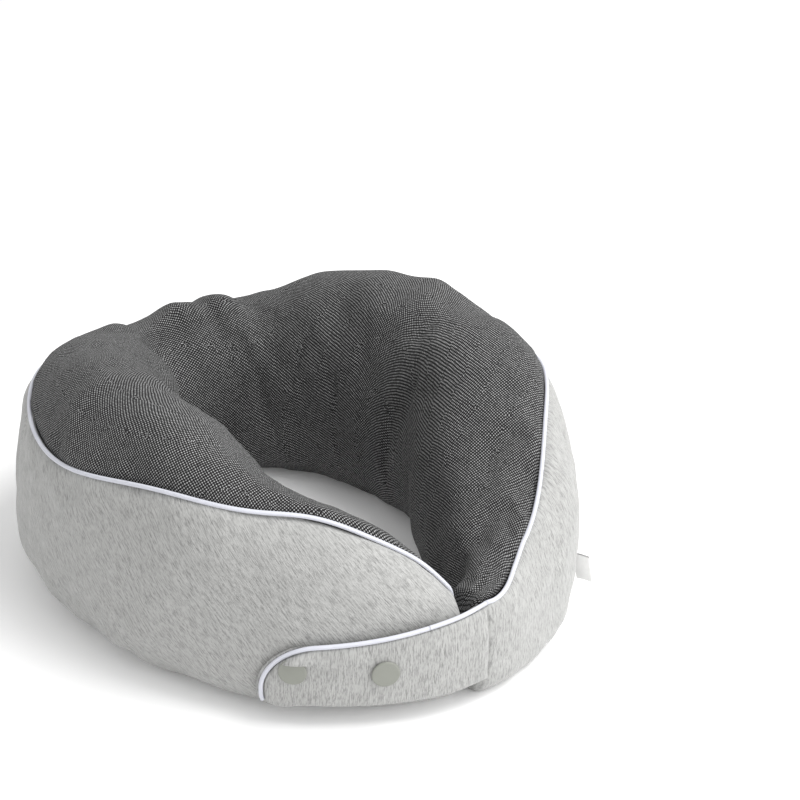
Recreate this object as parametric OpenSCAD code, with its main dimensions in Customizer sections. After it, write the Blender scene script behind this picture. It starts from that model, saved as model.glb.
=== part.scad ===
// U-shaped neck pillow with a snap strap, a zip and a hanging snap hook.
// Millimetres, +Z up, standing on its flat base at Z = 0.
// The arms' opening faces -Y, the nape lies at +Y, the strap grows from the +X arm.
// Angles round the pillow run from 0 at the front, through 90 at +X, to 180 at the nape.

/* [Ring] */
// Half of the overall width
half_width = 141.6; // [120:0.1:170]
// Distance from the centre to the front of the arms
front_reach = 164.3; // [130:0.1:180]
// Distance from the centre to the back of the nape
back_reach = 154.3; // [120:0.1:175]
// Half of the neck opening's width
neck_half_width = 56.2; // [40:0.1:65]
// Half of the neck opening's depth
neck_half_depth = 101.4; // [60:0.1:115]
// Shift of the neck opening towards the front
neck_shift = 4.4; // [0:0.1:25]
// Place of the ring's centre in the part's frame
ring_centre = [-3.7, 5.9]; // [-20:0.1:20]

/* [Heights] */
// Crest heights at 0, 45, 90, 135 and 180 degrees
crest_heights = [61.1, 106.6, 129.9, 120.5, 99.1]; // [50:0.1:150]
// Piping heights at 0, 45, 90, 135 and 180 degrees
piping_heights = [56.5, 100.8, 94.8, 96.8, 73.2]; // [40:0.1:120]
// Extra height of the left arm near its tip
left_lift = 14.7; // [0:0.1:20]
// Angle at which that extra height is largest
left_lift_at = -23.2; // [-60:0.1:-10]
// Angle over which it fades away
left_lift_wide = 15.2; // [8:0.1:25]
// Further height of the left arm's piping there
piping_lift = 2.4; // [0:0.1:12]
// Change of the crest and of the piping halfway along the left arm
left_middle = [2.5, -2.5]; // [-6:0.1:6]
// Angle of that change
left_middle_at = -52; // [-80:1:-40]
// Angle over which it fades away
left_middle_wide = 16; // [8:1:30]

/* [Section] */
// Height of the widest point, as a share of the crest
widest_share = 0.37; // [0.2:0.01:0.6]
// Radial place of the crest between the walls, at the front
crest_share_front = 0.55; // [0.3:0.01:0.7]
// Radial place of the crest between the walls, at the back
crest_share_back = 0.47; // [0.3:0.01:0.7]
// Roundness exponent above the widest point
round_exp = 2.2; // [1.8:0.1:3]
// Roundness exponent below the widest point
base_exp = 3; // [2.4:0.1:6]
// Depth cut off the bottom to make it flat
base_cut = 2; // [0.5:0.1:4]
// Angle where the two arm tips meet
tip_at = -5; // [-10:0.5:5]
// Angle taken by the rounding of an arm's tip
tip_round = 4; // [2:0.5:8]

/* [Layers] */
// Thickness of the cover fabric
cover_t = 1.2; // [0.8:0.1:2]
// Thickness of the liner fabric
liner_t = 0.8; // [0.5:0.1:1.5]
// Gap between layers
layer_gap = 0.3; // [0.2:0.05:0.5]
// Gap between the two halves at the nape
half_gap = 0.3; // [0.2:0.1:1]
// Diameter of the piping
piping_d = 2.8; // [2:0.1:4]

/* [Strap] */
// Angle of the sewn seam where the strap starts
strap_from = -1.5; // [-4:0.5:6]
// Angle where the tail of the strap ends
strap_to = -39.9; // [-50:0.1:-30]
// Angle of the fold between the snaps
strap_fold = -27.7; // [-32:0.1:-24]
// Lower edge of the strap
strap_low = 9.2; // [5:0.1:14]
// Upper edge of the strap, at its seam and at its tail
strap_high = [51.8, 41]; // [38:0.1:56]
// Distance of the strap's back from the arm, over the snaps
strap_off = 2.2; // [2:0.1:4]
// Distance of the strap's back from the arm, at its seam
seam_off = 0.5; // [0.3:0.1:2]
// Thickness of the strap
strap_t = 2.8; // [2:0.1:4]
// Angle taken by the rounded tail
tail_round = 7; // [4:0.5:9]

/* [Snaps] */
// Angles of the two snaps
snap_at = [-20.3, -35.1]; // [-45:0.1:-10]
// Heights of the two snaps
snap_z = [30.7, 32.2]; // [25:0.1:40]
// Diameter of a snap cap
cap_d = 13.5; // [11:0.5:16]
// Diameter of a snap's socket and stud plate
snap_d = 11; // [9:0.5:13]
// Diameter of the post through the fabric
post_d = 3.4; // [2.5:0.1:4.5]

/* [Zip] */
// Height of the zip's centre line
zip_z = 32; // [24:0.5:44]
// Start and end angle of the zip, about its own centre
zip_span = [28, 72]; // [10:1:90]
// Radius of the zip's arc
zip_r = 146.1; // [130:0.1:160]
// Centre of the zip's arc
zip_centre = [-7.6, 10.1]; // [-20:0.1:20]
// Height of the slot in the cover
zip_slot = 9; // [7:0.5:12]

/* [Hanging hook] */
// Angle of the webbing loop round the pillow
hang_at = 108; // [90:1:130]
// Height of the D-ring's bar
bar_z = 86; // [80:1:100]
// Distance of the hanging parts from the widest wall
hang_off = 10; // [8:0.5:14]
// Width of the webbing
webbing_w = 13.5; // [10:0.5:20]
// Wire diameter of the D-ring
ring_wire = 2.4; // [2:0.1:3]
// Half of the distance between the D-ring's legs
ring_half = 8.3; // [7:0.1:12]
// Wire diameter of the hook
hook_wire = 2.8; // [2.4:0.1:4]
// Half of the distance between the hook's legs
hook_half = 4.3; // [3.5:0.1:7]
// Length of the straight part of the hook
hook_len = 24; // [18:1:40]

/* [Label] */
// Angle of the blank label
label_at = 33; // [20:1:60]
// Height of the label's centre
label_z = 28; // [15:1:60]
// Height and reach of the label
label_size = [14, 8]; // [5:0.5:20]

/* [Hidden] */

liner_d = cover_t + layer_gap;
foam_d = liner_d + liner_t + layer_gap;
turn = 180;
step_phi = 7;
min_tip = 0.0072;
tip_steps = [min_tip, 0.05, 0.15, 0.32, 0.55, 1];
stations = len(crest_heights) - 1;
side_steps = 7;
top_steps = 13;
base_steps = 3;
base_edge = 72;
inner_edge = 2 * 90 + base_edge;
piping_r = piping_d / 2;
piping_sides = 8;
seam_half = piping_r + 0.25;
mesh_dark = [0.32, 0.32, 0.33];
jersey = [0.76, 0.76, 0.75];
white_cord = [0.93, 0.93, 0.96];
foam_col = [0.93, 0.89, 0.72];
liner_col = [0.9, 0.9, 0.9];
cap_col = [0.63, 0.64, 0.6];
steel = [0.35, 0.35, 0.37];

// Smooth closed curve through values given at even steps from 0 to 180 degrees
function end_half(i) = (i == 0 || i == stations) ? 0.5 : 1;
function wave_term(v, k) = 2 / stations
    * sum([for (j = [0:stations]) end_half(j) * v[j] * cos(turn * j * k / stations)]);
function wave_terms(v) = [for (k = [0:stations]) end_half(k) * wave_term(v, k)];
function wave(w, phi) = sum([for (k = [0:stations]) w[k] * cos(k * phi)]);
function sum(v, i = 0) = i >= len(v) ? 0 : v[i] + sum(v, i + 1);
crest_w = wave_terms(crest_heights);
piping_w = wave_terms(piping_heights);

// Plan of the ring
function reach(phi) = cos(phi) > 0 ? front_reach : back_reach;
function outer_r(phi) = 1 / sqrt(pow(sin(phi) / half_width, 2) + pow(cos(phi) / reach(phi), 2));
function ray_a(phi) = pow(sin(phi) / neck_half_width, 2) + pow(cos(phi) / neck_half_depth, 2);
function ray_b(phi) = -2 * cos(phi) * neck_shift / pow(neck_half_depth, 2);
function ray_c() = pow(neck_shift / neck_half_depth, 2) - 1;
function inner_r(phi) = (-ray_b(phi) + sqrt(pow(ray_b(phi), 2) - 4 * ray_a(phi) * ray_c()))
    / (2 * ray_a(phi));

// Heights round the ring
function lift(phi) = left_lift * exp(-pow((phi - left_lift_at) / left_lift_wide, 2));
function middle(phi) = exp(-pow((phi - left_middle_at) / left_middle_wide, 2));
function crest(phi) = wave(crest_w, phi) + lift(phi) + left_middle[0] * middle(phi);
function piping_z(phi) = min(wave(piping_w, phi) + lift(phi) * (1 + piping_lift / left_lift)
    + left_middle[1] * middle(phi), 0.985 * crest(phi));
function widest(phi) = widest_share * crest(phi);
function front_part(phi) = pow((1 + cos(phi)) / 2, 2);
function crest_share(phi) = crest_share_back
    + (crest_share_front - crest_share_back) * front_part(phi);
function crest_r(phi) = inner_r(phi) + (outer_r(phi) - inner_r(phi)) * crest_share(phi);

// Section: t = 0 at the outer wall, 90 at the crest, 180 at the inner wall, 270 at the base
function power(t, s) = 2 / (s >= 0 ? round_exp : base_exp);
function sec_r(phi, t) = crest_r(phi) + pow(abs(cos(t)), power(t, sin(t)))
    * (cos(t) >= 0 ? outer_r(phi) - crest_r(phi) : inner_r(phi) - crest_r(phi));
function sec_z(phi, t) = widest(phi) + pow(abs(sin(t)), power(t, sin(t)))
    * (sin(t) >= 0 ? crest(phi) - widest(phi) : -widest(phi) - base_cut);
function t_of(phi, z) = z >= widest(phi)
    ? asin(pow((z - widest(phi)) / (crest(phi) - widest(phi)), round_exp / 2))
    : -asin(pow((widest(phi) - z) / (widest(phi) + base_cut), base_exp / 2));
function t_piping(phi) = t_of(phi, piping_z(phi));
function snap_t(i) = t_of(snap_at[i], snap_z[i]);

// The arms shrink to a rounded tip; full = 1 leaves the section whole
function from_tip(phi) = abs(phi - tip_at) / tip_round;
function shrink(phi) = from_tip(phi) >= 1 ? 1 : sqrt(max(0.0001, 1 - pow(1 - from_tip(phi), 2)));
function shrunk(phi, full) = full ? 1 : shrink(phi);
function surf_r(phi, t, full) = crest_r(phi) + shrunk(phi, full) * (sec_r(phi, t) - crest_r(phi));
function surf_z(phi, t, full) = widest(phi) + shrunk(phi, full) * (sec_z(phi, t) - widest(phi));
function surf(phi, t, full = false) = [ring_centre[0] + surf_r(phi, t, full) * sin(phi),
    ring_centre[1] - surf_r(phi, t, full) * cos(phi), surf_z(phi, t, full)];
function unit(v) = v / norm(v);
function along(phi, t, full) = unit(surf(phi + 0.02, t, full) - surf(phi - 0.02, t, full));
function across(phi, t, full) = unit(surf(phi, t + 0.5, full) - surf(phi, t - 0.5, full));
function normal(phi, t, full = false) = unit(cross(along(phi, t, full), across(phi, t, full)));
function raised(p, depth) = [p[0], p[1], max(p[2], depth)];
function layer(phi, t, depth) = raised(surf(phi, t) - depth * normal(phi, t), depth);
function speed(phi, t) = norm(surf(phi, t + 1) - surf(phi, t - 1)) / 2;
function seam_t(phi) = min(14, seam_half / speed(phi, t_piping(phi)));

// Angles and section angles of the layers' grid
function right_phis() = concat([for (u = tip_steps) tip_at + u * tip_round],
    [for (k = [1:25]) tip_at + tip_round + k * (turn - tip_at - tip_round) / 25]);
function left_phis() = concat([for (k = [0:24]) -turn + k * (turn + tip_at - tip_round) / 25],
    [for (i = [len(tip_steps) - 1:-1:0]) tip_at - tip_steps[i] * tip_round]);
function mix(a, b, n) = [for (i = [0:n]) a + (b - a) * i / n];
function side_ts(phi, cut) = mix(-base_edge, t_piping(phi) - cut, side_steps);
function top_ts(phi, cut) = mix(t_piping(phi) + cut, inner_edge, top_steps);
function base_ts() = mix(inner_edge, 2 * turn - base_edge, base_steps);
function drop_last(v) = [for (i = [0:len(v) - 2]) v[i]];
function loop_ts(phi) = concat(side_ts(phi, seam_t(phi)), drop_last(top_ts(phi, seam_t(phi))),
    drop_last(base_ts()));
function row(phi, ts, depth) = [for (t = ts) layer(phi, t, depth)];

// Faces of swept rows; each row holds n points
function flat_list(rows) = [for (r = rows) each r];
function wall_faces(m, n, closed) = [for (i = [0:m - 2], j = [0:n - (closed ? 1 : 2)])
    each [[i * n + j, i * n + (j + 1) % n, (i + 1) * n + (j + 1) % n],
          [i * n + j, (i + 1) * n + (j + 1) % n, (i + 1) * n + j]]];
function turned(faces) = [for (f = faces) [f[0], f[2], f[1]]];
function shifted(faces, k) = [for (f = faces) [f[0] + k, f[1] + k, f[2] + k]];
function mean(pts, i = 0) = i >= len(pts) ? [0, 0, 0] : pts[i] / len(pts) + mean(pts, i + 1);

// Solid loop swept along the rows
module solid_sweep(rows) {
    m = len(rows);
    n = len(rows[0]);
    first = m * n;
    last = first + 1;
    end = (m - 1) * n;
    points = concat(flat_list(rows), [mean(rows[0]), mean(rows[m - 1])]);
    faces = concat(wall_faces(m, n, true),
        [for (j = [0:n - 1]) [first, (j + 1) % n, j]],
        [for (j = [0:n - 1]) [last, end + j, end + (j + 1) % n]]);
    polyhedron(points = points, faces = faces, convexity = 10);
}

// Band between an outer and an inner set of rows, open or closed round the section
module band_sweep(outer, inner, closed) {
    m = len(outer);
    n = len(outer[0]);
    k = m * n;
    end = (m - 1) * n;
    wall = wall_faces(m, n, closed);
    span = n - (closed ? 1 : 2);
    start_cap = [for (j = [0:span]) each [[j, k + j, k + (j + 1) % n],
                                          [j, k + (j + 1) % n, (j + 1) % n]]];
    end_cap = turned(shifted(start_cap, end));
    low_edge = [for (i = [0:m - 2]) each [[i * n, (i + 1) * n, k + (i + 1) * n],
                                          [i * n, k + (i + 1) * n, k + i * n]]];
    high_edge = turned(shifted(low_edge, n - 1));
    edges = closed ? [] : concat(low_edge, high_edge);
    polyhedron(points = concat(flat_list(outer), flat_list(inner)),
        faces = concat(wall, shifted(turned(wall), k), start_cap, end_cap, edges),
        convexity = 10);
}

// Round cord along points, with a reference normal at each
module cord(pts, normals, r) {
    last = len(pts) - 1;
    rows = [for (i = [0:last])
        let (dir = unit(pts[min(i + 1, last)] - pts[max(i - 1, 0)]),
             a = unit(normals[i] - dir * (dir * normals[i])),
             b = cross(dir, a))
        [for (j = [0:piping_sides - 1])
            pts[i] + r * (cos(360 * j / piping_sides) * a + sin(360 * j / piping_sides) * b)]];
    solid_sweep(rows);
}

function phis_of(right) = right ? right_phis() : left_phis();
module half(right) translate([(right ? 1 : -1) * half_gap / 2, 0, 0]) children();

// Local frame on the arm's surface: Z along the outward normal
module on_arm(phi, t, full = true) {
    p = surf(phi, t, full);
    z = normal(phi, t, full);
    x = along(phi, t, full);
    y = cross(z, x);
    multmatrix([[x[0], y[0], z[0], p[0]], [x[1], y[1], z[1], p[1]], [x[2], y[2], z[2], p[2]],
                [0, 0, 0, 1]]) children();
}

// Ring-shaped cut along the zip, from radius a to radius b about the zip's centre
module zip_arc(a, b, z0, z1, from = 0, to = 1) {
    span = zip_span[1] - zip_span[0];
    translate([ring_centre[0] + zip_centre[0], ring_centre[1] + zip_centre[1], 0])
        rotate([0, 0, zip_span[0] + from * span])
            rotate_extrude(angle = (to - from) * span, $fn = 180)
                translate([a, z0]) square([b - a, z1 - z0]);
}
zip_face = zip_r - 1;
module zip_groove(depth, wide) zip_arc(zip_r - depth, zip_r + 6, zip_z - zip_slot / 2 - wide,
    zip_z + zip_slot / 2 + wide);

module stud_pockets() {
    for (i = [0:1]) on_arm(snap_at[i], snap_t(i))
        translate([0, 0, -3.7]) cylinder(d = snap_d + 0.6, h = 3.7, $fn = 32);
}

module foam(right) {
    half(right) solid_sweep([for (p = phis_of(right)) row(p, loop_ts(p), foam_d)]);
}
module foam_core_right() color(foam_col) difference() {
    foam(true);
    zip_groove(4.4, 0.6);
}
module foam_core_left() color(foam_col) difference() {
    foam(false);
    half(false) stud_pockets();
}

module liner(right) {
    phis = phis_of(right);
    half(right) band_sweep([for (p = phis) row(p, loop_ts(p), liner_d)],
        [for (p = phis) row(p, loop_ts(p), liner_d + liner_t)], true);
}
module inner_liner_right() color(liner_col) difference() {
    liner(true);
    zip_groove(4.4, 0.6);
}
module inner_liner_left() color(liner_col) difference() {
    liner(false);
    half(false) stud_pockets();
}

module top_panel(right) {
    phis = phis_of(right);
    color(mesh_dark) half(right) band_sweep(
        [for (p = phis) row(p, top_ts(p, seam_t(p)), 0)],
        [for (p = phis) row(p, top_ts(p, seam_t(p)), cover_t)], false);
}
module top_panel_right() top_panel(true);
module top_panel_left() top_panel(false);

module side_panel(right) {
    phis = phis_of(right);
    half(right) band_sweep([for (p = phis) row(p, side_ts(p, seam_t(p)), 0)],
        [for (p = phis) row(p, side_ts(p, seam_t(p)), cover_t)], false);
}
module side_panel_right() color(jersey) difference() {
    side_panel(true);
    zip_groove(4.4, 0);
}
module side_panel_left() color(jersey) difference() {
    side_panel(false);
    half(false) for (i = [0:1]) on_arm(snap_at[i], snap_t(i))
        translate([0, 0, -4]) cylinder(d = post_d + 0.4, h = 6, $fn = 24);
}

edge_gap_t = 0.6;
module bottom_panel(right) {
    phis = phis_of(right);
    ts = mix(inner_edge + edge_gap_t, 2 * turn - base_edge - edge_gap_t, base_steps);
    color(jersey) half(right) band_sweep([for (p = phis) row(p, ts, 0)],
        [for (p = phis) row(p, ts, cover_t)], false);
}
module bottom_panel_right() bottom_panel(true);
module bottom_panel_left() bottom_panel(false);

module piping(right) {
    phis = [for (p = phis_of(right)) if (from_tip(p) > 0.3) p];
    color(white_cord) half(right) cord([for (p = phis) layer(p, t_piping(p), -0.2)],
        [for (p = phis) normal(p, t_piping(p))], piping_r);
}
module piping_right() piping(true);
module piping_left() piping(false);

// Strap: a band held off the arm's surface, with a rounded tail
function tail_u(phi) = max(0, (strap_to + tail_round - phi) / tail_round);
function tail_f(phi) = sqrt(max(0, 1 - pow(min(tail_u(phi), 0.995), 2.4)));
function strap_top(phi) = strap_high[0]
    + (strap_high[1] - strap_high[0]) * (strap_from - phi) / (strap_from - strap_to);
function strap_mid(phi) = (strap_top(phi) + strap_low) / 2;
function strap_half(phi) = (strap_top(phi) - strap_low) / 2;
function strap_z(phi, u) = strap_mid(phi) + u * strap_half(phi) * tail_f(phi);
function strap_ts(phi) = [for (u = mix(-1, 1, 8)) t_of(phi, strap_z(phi, u))];
function off_arm(phi, t, off) = surf(phi, t, true) + off * normal(phi, t, true);
ease_from = -9;
function ease(u) = u * u * (3 - 2 * u);
function strap_lift(phi) = seam_off + (strap_off - seam_off)
    * ease(min(1, max(0, (strap_from - phi) / (strap_from - ease_from))));
function strap_row(phi, off) = [for (t = strap_ts(phi)) off_arm(phi, t, off)];
fold_gap = 0.15;
tail_steps = [0.995, 0.97, 0.9, 0.78, 0.6, 0.35, 0];
tail_phis = concat([for (u = tail_steps) strap_to + tail_round * (1 - u)],
    [strap_to + tail_round + 3, strap_fold - fold_gap]);
root_phis = mix(strap_fold + fold_gap, strap_from, 10);
module strap_band(phis) band_sweep([for (p = phis) strap_row(p, strap_lift(p) + strap_t)],
    [for (p = phis) strap_row(p, strap_lift(p))], false);
module post_hole(i) on_arm(snap_at[i], snap_t(i))
    translate([0, 0, -1]) cylinder(d = post_d + 0.4, h = 10, $fn = 24);
module strap_root() color(jersey) difference() {
    strap_band(root_phis);
    post_hole(0);
}
module strap_tail() color(jersey) difference() {
    strap_band(tail_phis);
    post_hole(1);
}

// Piping round the strap's edge
cord_r = 1.3;
function edge_point(phi, z) = off_arm(phi, t_of(phi, z), strap_lift(phi) + strap_t / 2);
function edge_normal(phi, z) = normal(phi, t_of(phi, z), true);
function rim_z(phi, side) = strap_z(phi, side) + side * (cord_r + 0.25);
module strap_piping_root() color(white_cord)
    cord([for (p = root_phis) edge_point(p, rim_z(p, 1))],
        [for (p = root_phis) edge_normal(p, rim_z(p, 1))], cord_r);
rim_grow = 0.62;
function rim_phi(u) = strap_to + tail_round - u * (tail_round + rim_grow);
function rim_f(u) = sqrt(max(0, 1 - pow(u, 2.4)));
function rim_height(phi, f) = strap_mid(phi) + f * (strap_half(phi) + cord_r + 0.25);
rim_us = [1, 0.985, 0.94, 0.85, 0.7, 0.45, 0.2, 0];
rim_pts = concat([[strap_fold - fold_gap, 1], [strap_to + tail_round + 3, 1]],
    [for (i = [len(rim_us) - 1:-1:0]) [rim_phi(rim_us[i]), rim_f(rim_us[i])]],
    [for (i = [1:len(rim_us) - 1]) [rim_phi(rim_us[i]), -rim_f(rim_us[i])]]);
module strap_piping_tail() color(white_cord)
    cord([for (q = rim_pts) edge_point(q[0], rim_height(q[0], q[1]))],
        [for (q = rim_pts) edge_normal(q[0], rim_height(q[0], q[1]))], cord_r);

// Snap parts, in the frame of the arm's surface
module snap_cap(i) color(cap_col) on_arm(snap_at[i], snap_t(i)) {
    under = strap_off + strap_t + 0.05;
    rotate_extrude($fn = 48) polygon([[0, under], [cap_d / 2 - 0.2, under], [cap_d / 2, under + 0.3],
        [cap_d / 2 - 0.5, under + 1], [cap_d / 4, under + 1.3], [0, under + 1.35]]);
    translate([0, 0, strap_off + 0.1]) cylinder(d = post_d, h = strap_t, $fn = 24);
}
module snap_cap_1() snap_cap(0);
module snap_cap_2() snap_cap(1);
module snap_socket(i) color(cap_col) on_arm(snap_at[i], snap_t(i))
    difference() {
        translate([0, 0, 0.75]) cylinder(d = snap_d, h = strap_off - 1.15, $fn = 48);
        translate([0, 0, -1]) cylinder(d = 5, h = 5, $fn = 32);
    }
module snap_socket_1() snap_socket(0);
module snap_socket_2() snap_socket(1);
module snap_stud(i) color(cap_col) half(false) on_arm(snap_at[i], snap_t(i)) {
    translate([0, 0, 0.05]) cylinder(d = snap_d - 0.5, h = 0.5, $fn = 48);
    translate([0, 0, 0.5]) cylinder(d = 4.2, h = 1.1, $fn = 32);
    translate([0, 0, -3.1]) cylinder(d = post_d, h = 3.3, $fn = 24);
    translate([0, 0, -3.2]) cylinder(d = snap_d - 0.6, h = 0.8, $fn = 48);
}
module snap_stud_1() snap_stud(0);
module snap_stud_2() snap_stud(1);

// Flat bar shape with a round far end
module slot(r, from, to) {
    translate([-r, from]) square([2 * r, to - from]);
    translate([0, to]) circle(r = r, $fn = 32);
}
module brand_label() color([0.85, 0.85, 0.84]) half(true)
    on_arm(label_at, t_of(label_at, label_z))
        translate([0, 0, 0.3]) rotate([90, 0, 0])
            linear_extrude(label_size[0], center = true)
                difference() {
                    slot(0.8, 0, label_size[1] - 0.8);
                    slot(0.25, 0.4, label_size[1] - 0.8);
                }

// Zip: two tapes and two coil rows either side of a narrow gap, stops, slider and pull
tape_in = 0.2;
coil_half = 1.9;
web_gap = 0.5;
module zip_tape(side) color([0.72, 0.72, 0.72]) zip_arc(zip_face - 1, zip_face - 0.4,
    side > 0 ? zip_z + web_gap : zip_z - zip_slot / 2 + tape_in,
    side > 0 ? zip_z + zip_slot / 2 - tape_in : zip_z - web_gap, 0.004, 0.996);
module zip_tape_upper() zip_tape(1);
module zip_tape_lower() zip_tape(-1);
module zip_coil(side) color([0.8, 0.8, 0.8]) zip_arc(zip_face - 0.4, zip_face + 0.7,
    side > 0 ? zip_z + web_gap : zip_z - coil_half,
    side > 0 ? zip_z + coil_half : zip_z - web_gap, 0.03, 0.97);
module zip_coil_upper() zip_coil(1);
module zip_coil_lower() zip_coil(-1);
module zip_stop(from) color(steel) zip_arc(zip_face - 0.4, zip_face + 0.9,
    zip_z - coil_half, zip_z + coil_half, from, from + 0.014);
module zip_stop_start() zip_stop(0.012);
module zip_stop_end() zip_stop(0.974);
module at_slider() translate([ring_centre[0] + zip_centre[0], ring_centre[1] + zip_centre[1], zip_z])
    rotate([0, 0, zip_span[0] + 0.08 * (zip_span[1] - zip_span[0])])
        translate([zip_face, 0, 0]) children();
module slider_plate(x, t) translate([x, -4.5, -3.2]) cube([t, 9, 6.4]);
module zip_slider() color(steel) at_slider() {
    slider_plate(1.1, 1);
    slider_plate(-2.5, 1);
    translate([-2, 2, -0.3]) cube([3.6, 2.2, 0.6]);
    difference() {
        translate([2, -2.6, -1]) cube([2.6, 5.2, 2]);
        translate([2.3, -1.6, -2]) cube([1.4, 3.2, 4]);
    }
}
pull_x = 3;
module zip_pull() color(steel) at_slider() translate([pull_x, 0, 0]) {
    cylinder(d = 1.1, h = 5.2, center = true, $fn = 24);
    difference() {
        translate([-0.5, 0, -2.6]) cube([1, 17, 5.2]);
        translate([-1, -1, -1.25]) cube([2, 4.4, 2.5]);
    }
    translate([-0.5, 17, 0]) rotate([0, 90, 0]) cylinder(d = 7, h = 1, $fn = 32);
}

// Hanging parts: local +X points outward, local +Y runs round the ring
hang_r = outer_r(hang_at) + hang_off;
module hang() translate([ring_centre[0], ring_centre[1], 0]) rotate([0, 0, hang_at - 90])
    translate([hang_r, 0, 0]) children();
wire_r = ring_wire / 2;
loop_in = wire_r + 0.15;
loop_out = loop_in + 1.2;
loop_root = -13.5;
module webbing_loop() color([0.75, 0.75, 0.74]) hang() translate([0, 0, bar_z])
    rotate([90, 0, 0]) linear_extrude(webbing_w, center = true) difference() {
        rotate([0, 0, -90]) slot(loop_out, loop_root, 0);
        rotate([0, 0, -90]) slot(loop_in, loop_root + 1, 0);
    }
leg = 4;
low_z = bar_z - leg - ring_half;
module rod(a, b, d) {
    v = b - a;
    translate(a) rotate([0, acos(v[2] / norm(v)), atan2(v[1], v[0])])
        cylinder(d = d, h = norm(v), $fn = 24);
}
module d_ring() color(steel) hang() translate([0, 0, bar_z]) {
    rod([0, -ring_half, 0], [0, ring_half, 0], ring_wire);
    for (s = [-1, 1]) {
        rod([0, s * ring_half, 0], [0, s * ring_half, -leg], ring_wire);
        translate([0, s * ring_half, 0]) sphere(d = ring_wire, $fn = 24);
    }
    translate([0, 0, -leg]) rotate([90, 0, 90]) rotate([0, 0, 180])
        rotate_extrude(angle = 180, $fn = 64)
            translate([ring_half, 0]) circle(d = ring_wire, $fn = 24);
}
eye_wire = 2.2;
eye_in = 2.6;
eye_r = eye_in + eye_wire / 2;
eye_z = low_z + wire_r + 0.15 - eye_in;
collar_top = eye_z - eye_r;
collar_low = collar_top - 2.2;
pin_low = collar_low - 5.4;
module swivel_eye() color(steel) hang() {
    translate([0, 0, eye_z]) rotate([90, 0, 0]) rotate_extrude($fn = 64)
        translate([eye_r, 0]) circle(d = eye_wire, $fn = 24);
    translate([0, 0, collar_low]) cylinder(d = 6, h = 2.2, $fn = 32);
    translate([0, 0, pin_low]) cylinder(d = 2.4, h = 5.6, $fn = 24);
    translate([0, 0, pin_low - 0.8]) cylinder(d = 4.2, h = 1, $fn = 32);
}
barrel_top = collar_low - 0.2;
barrel_low = pin_low + 0.4;
arc_z = barrel_low - 0.2 - hook_half + hook_wire / 2;
hook_low = arc_z - hook_len;
pivot_z = arc_z - 2.5;
nose_z = hook_low + 3.2;
module hook_ring() {
    for (k = [[arc_z, 0], [hook_low, 180]]) translate([0, 0, k[0]]) rotate([90, 0, 90])
        rotate([0, 0, k[1]]) rotate_extrude(angle = 180, $fn = 64)
            translate([hook_half, 0]) circle(d = hook_wire, $fn = 24);
    translate([0, -hook_half, hook_low]) cylinder(d = hook_wire, h = hook_len, $fn = 24);
    translate([0, hook_half, hook_low]) cylinder(d = hook_wire, h = nose_z - hook_low, $fn = 24);
    translate([0, hook_half, arc_z - 0.6]) cylinder(d = hook_wire, h = 0.6, $fn = 24);
}
module hook_body() color(steel) hang() difference() {
    union() {
        hook_ring();
        translate([0, 0, barrel_low]) cylinder(d = 7, h = barrel_top - barrel_low, $fn = 48);
        translate([-2, hook_half, pivot_z]) rotate([0, 90, 0]) cylinder(d = 4.4, h = 4, $fn = 32);
    }
    translate([0, 0, pin_low - 1]) cylinder(d = 2.5, h = 12, $fn = 24);
    translate([0, 0, pin_low - 1.2]) cylinder(d = 4.7, h = 1.55, $fn = 32);
    translate([-0.75, hook_half - 4, pivot_z - 8]) cube([1.5, 8, 10.3]);
    translate([-4, hook_half, pivot_z]) rotate([0, 90, 0]) cylinder(d = 1.2, h = 8, $fn = 24);
}
module hook_gate() color(steel) hang() difference() {
    union() {
        translate([0, hook_half, nose_z + 0.5]) cylinder(d = 2.2, h = pivot_z - nose_z - 3.3, $fn = 24);
        translate([-0.6, hook_half, pivot_z]) rotate([0, 90, 0]) cylinder(d = 3.4, h = 1.2, $fn = 32);
        translate([-0.6, hook_half - 0.9, pivot_z - 4]) cube([1.2, 1.8, 4]);
    }
    translate([-4, hook_half, pivot_z]) rotate([0, 90, 0]) cylinder(d = 1.26, h = 8, $fn = 24);
}
module gate_pin() color(steel) hang() translate([-2.1, hook_half, pivot_z]) rotate([0, 90, 0])
    cylinder(d = 1.1, h = 4.2, $fn = 24);

foam_core_right();
foam_core_left();
inner_liner_right();
inner_liner_left();
top_panel_right();
top_panel_left();
side_panel_right();
side_panel_left();
bottom_panel_right();
bottom_panel_left();
piping_right();
piping_left();
strap_root();
strap_tail();
strap_piping_root();
strap_piping_tail();
snap_cap_1();
snap_cap_2();
snap_socket_1();
snap_socket_2();
snap_stud_1();
snap_stud_2();
brand_label();
zip_tape_upper();
zip_tape_lower();
zip_coil_upper();
zip_coil_lower();
zip_stop_start();
zip_stop_end();
zip_slider();
zip_pull();
webbing_loop();
d_ring();
swivel_eye();
hook_body();
hook_gate();
gate_pin();
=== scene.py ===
"""U-shaped neck pillow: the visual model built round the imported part. Metres, in the part's frame.

Angles round the pillow run from -5 degrees at the front, where the arm tips meet, through 90 at +X and
180 at the nape to 355, back at the front. Shapes are worked out in millimetres and made in metres."""

import math

import bpy
import numpy as np
from mathutils import Matrix, Vector


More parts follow.
